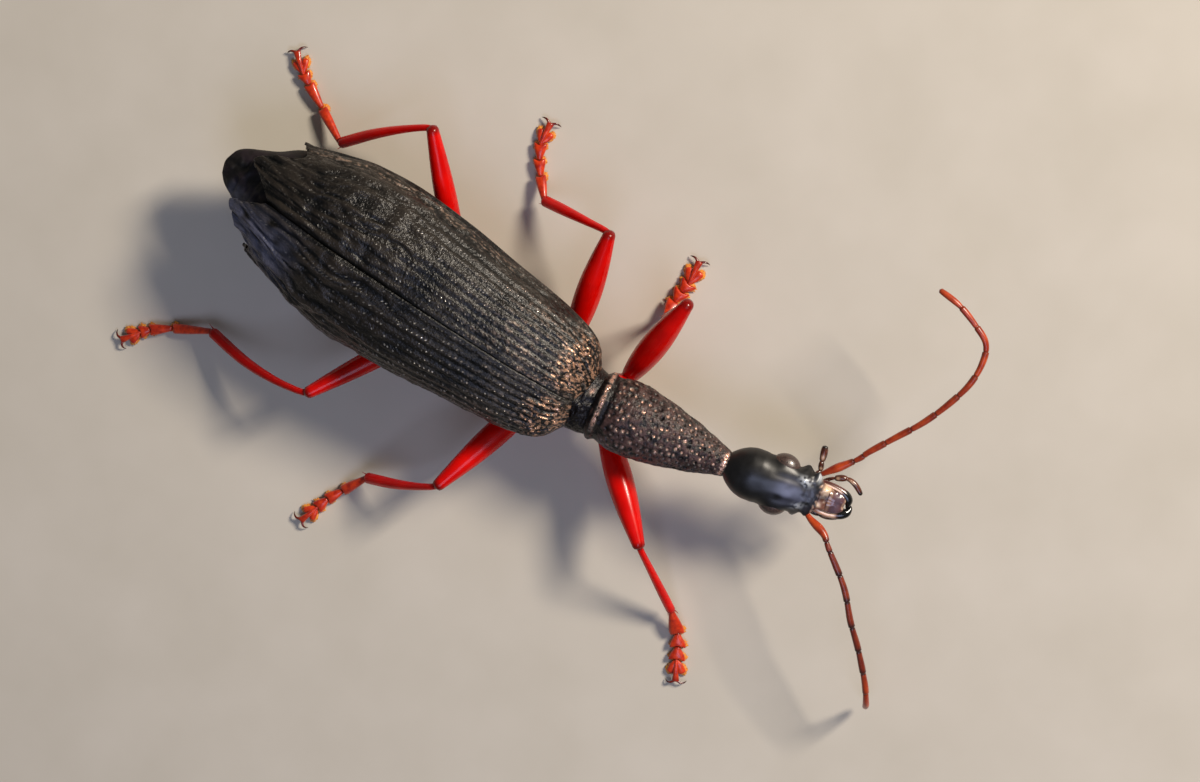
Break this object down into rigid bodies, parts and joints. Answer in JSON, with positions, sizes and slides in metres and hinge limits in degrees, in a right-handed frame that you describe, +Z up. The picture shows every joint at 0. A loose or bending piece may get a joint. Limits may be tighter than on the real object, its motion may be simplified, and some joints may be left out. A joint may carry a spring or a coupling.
{
  "type": "ground beetle",
  "caption": "Life-size still model of a long-bodied black ground beetle with ribbed wing covers, a tapering pronotum and slender red legs, standing on a level floor.",
  "frame": {"origin": "middle of the base of the whole object's box, on the floor between the feet", "axes": "-Y along the body towards the head, +X to the beetle's own left, +Z up from the floor"},
  "size_m": [0.0214, 0.03, 0.0055],
  "materials": {
    "black_cuticle": "satin black-brown cuticle",
    "bronze_cuticle": "coarsely pitted dark cuticle with a bronze glint",
    "eye": "glossy compound eye",
    "mouthpart": "smooth red-brown cuticle",
    "feeler": "fine-haired orange-red cuticle",
    "red_leg": "glossy red cuticle",
    "foot": "orange-red cuticle with short pads of hair"
  },
  "bodies": {
    "root": {"elytron_left": "black_cuticle", "elytron_right": "black_cuticle", "metathorax": "black_cuticle", "abdomen": "black_cuticle", "mesothorax": "bronze_cuticle", "pronotum": "bronze_cuticle", "head": "black_cuticle", "eye_left": "eye", "eye_right": "eye", "labrum": "mouthpart", "mandible_left": "mouthpart", "mandible_right": "mouthpart", "maxillary_palp_left": "mouthpart", "maxillary_palp_right": "mouthpart", "labial_palp_left": "mouthpart", "labial_palp_right": "mouthpart", "antenna_left_1": "feeler", "antenna_left_2": "feeler", "antenna_left_3": "feeler", "antenna_right_1": "feeler", "antenna_right_2": "feeler", "antenna_right_3": "feeler", "fore_left_coxa": "red_leg", "fore_left_femur": "red_leg", "fore_left_tibia": "red_leg", "fore_left_tarsus": "foot", "fore_right_coxa": "red_leg", "fore_right_femur": "red_leg", "fore_right_tibia": "red_leg", "fore_right_tarsus": "foot", "mid_left_coxa": "red_leg", "mid_left_femur": "red_leg", "mid_left_tibia": "red_leg", "mid_left_tarsus": "foot", "mid_right_coxa": "red_leg", "mid_right_femur": "red_leg", "mid_right_tibia": "red_leg", "mid_right_tarsus": "foot", "hind_left_coxa": "red_leg", "hind_left_femur": "red_leg", "hind_left_tibia": "red_leg", "hind_left_tarsus": "foot", "hind_right_coxa": "red_leg", "hind_right_femur": "red_leg", "hind_right_tibia": "red_leg", "hind_right_tarsus": "foot"}
  },
  "joints": []
}
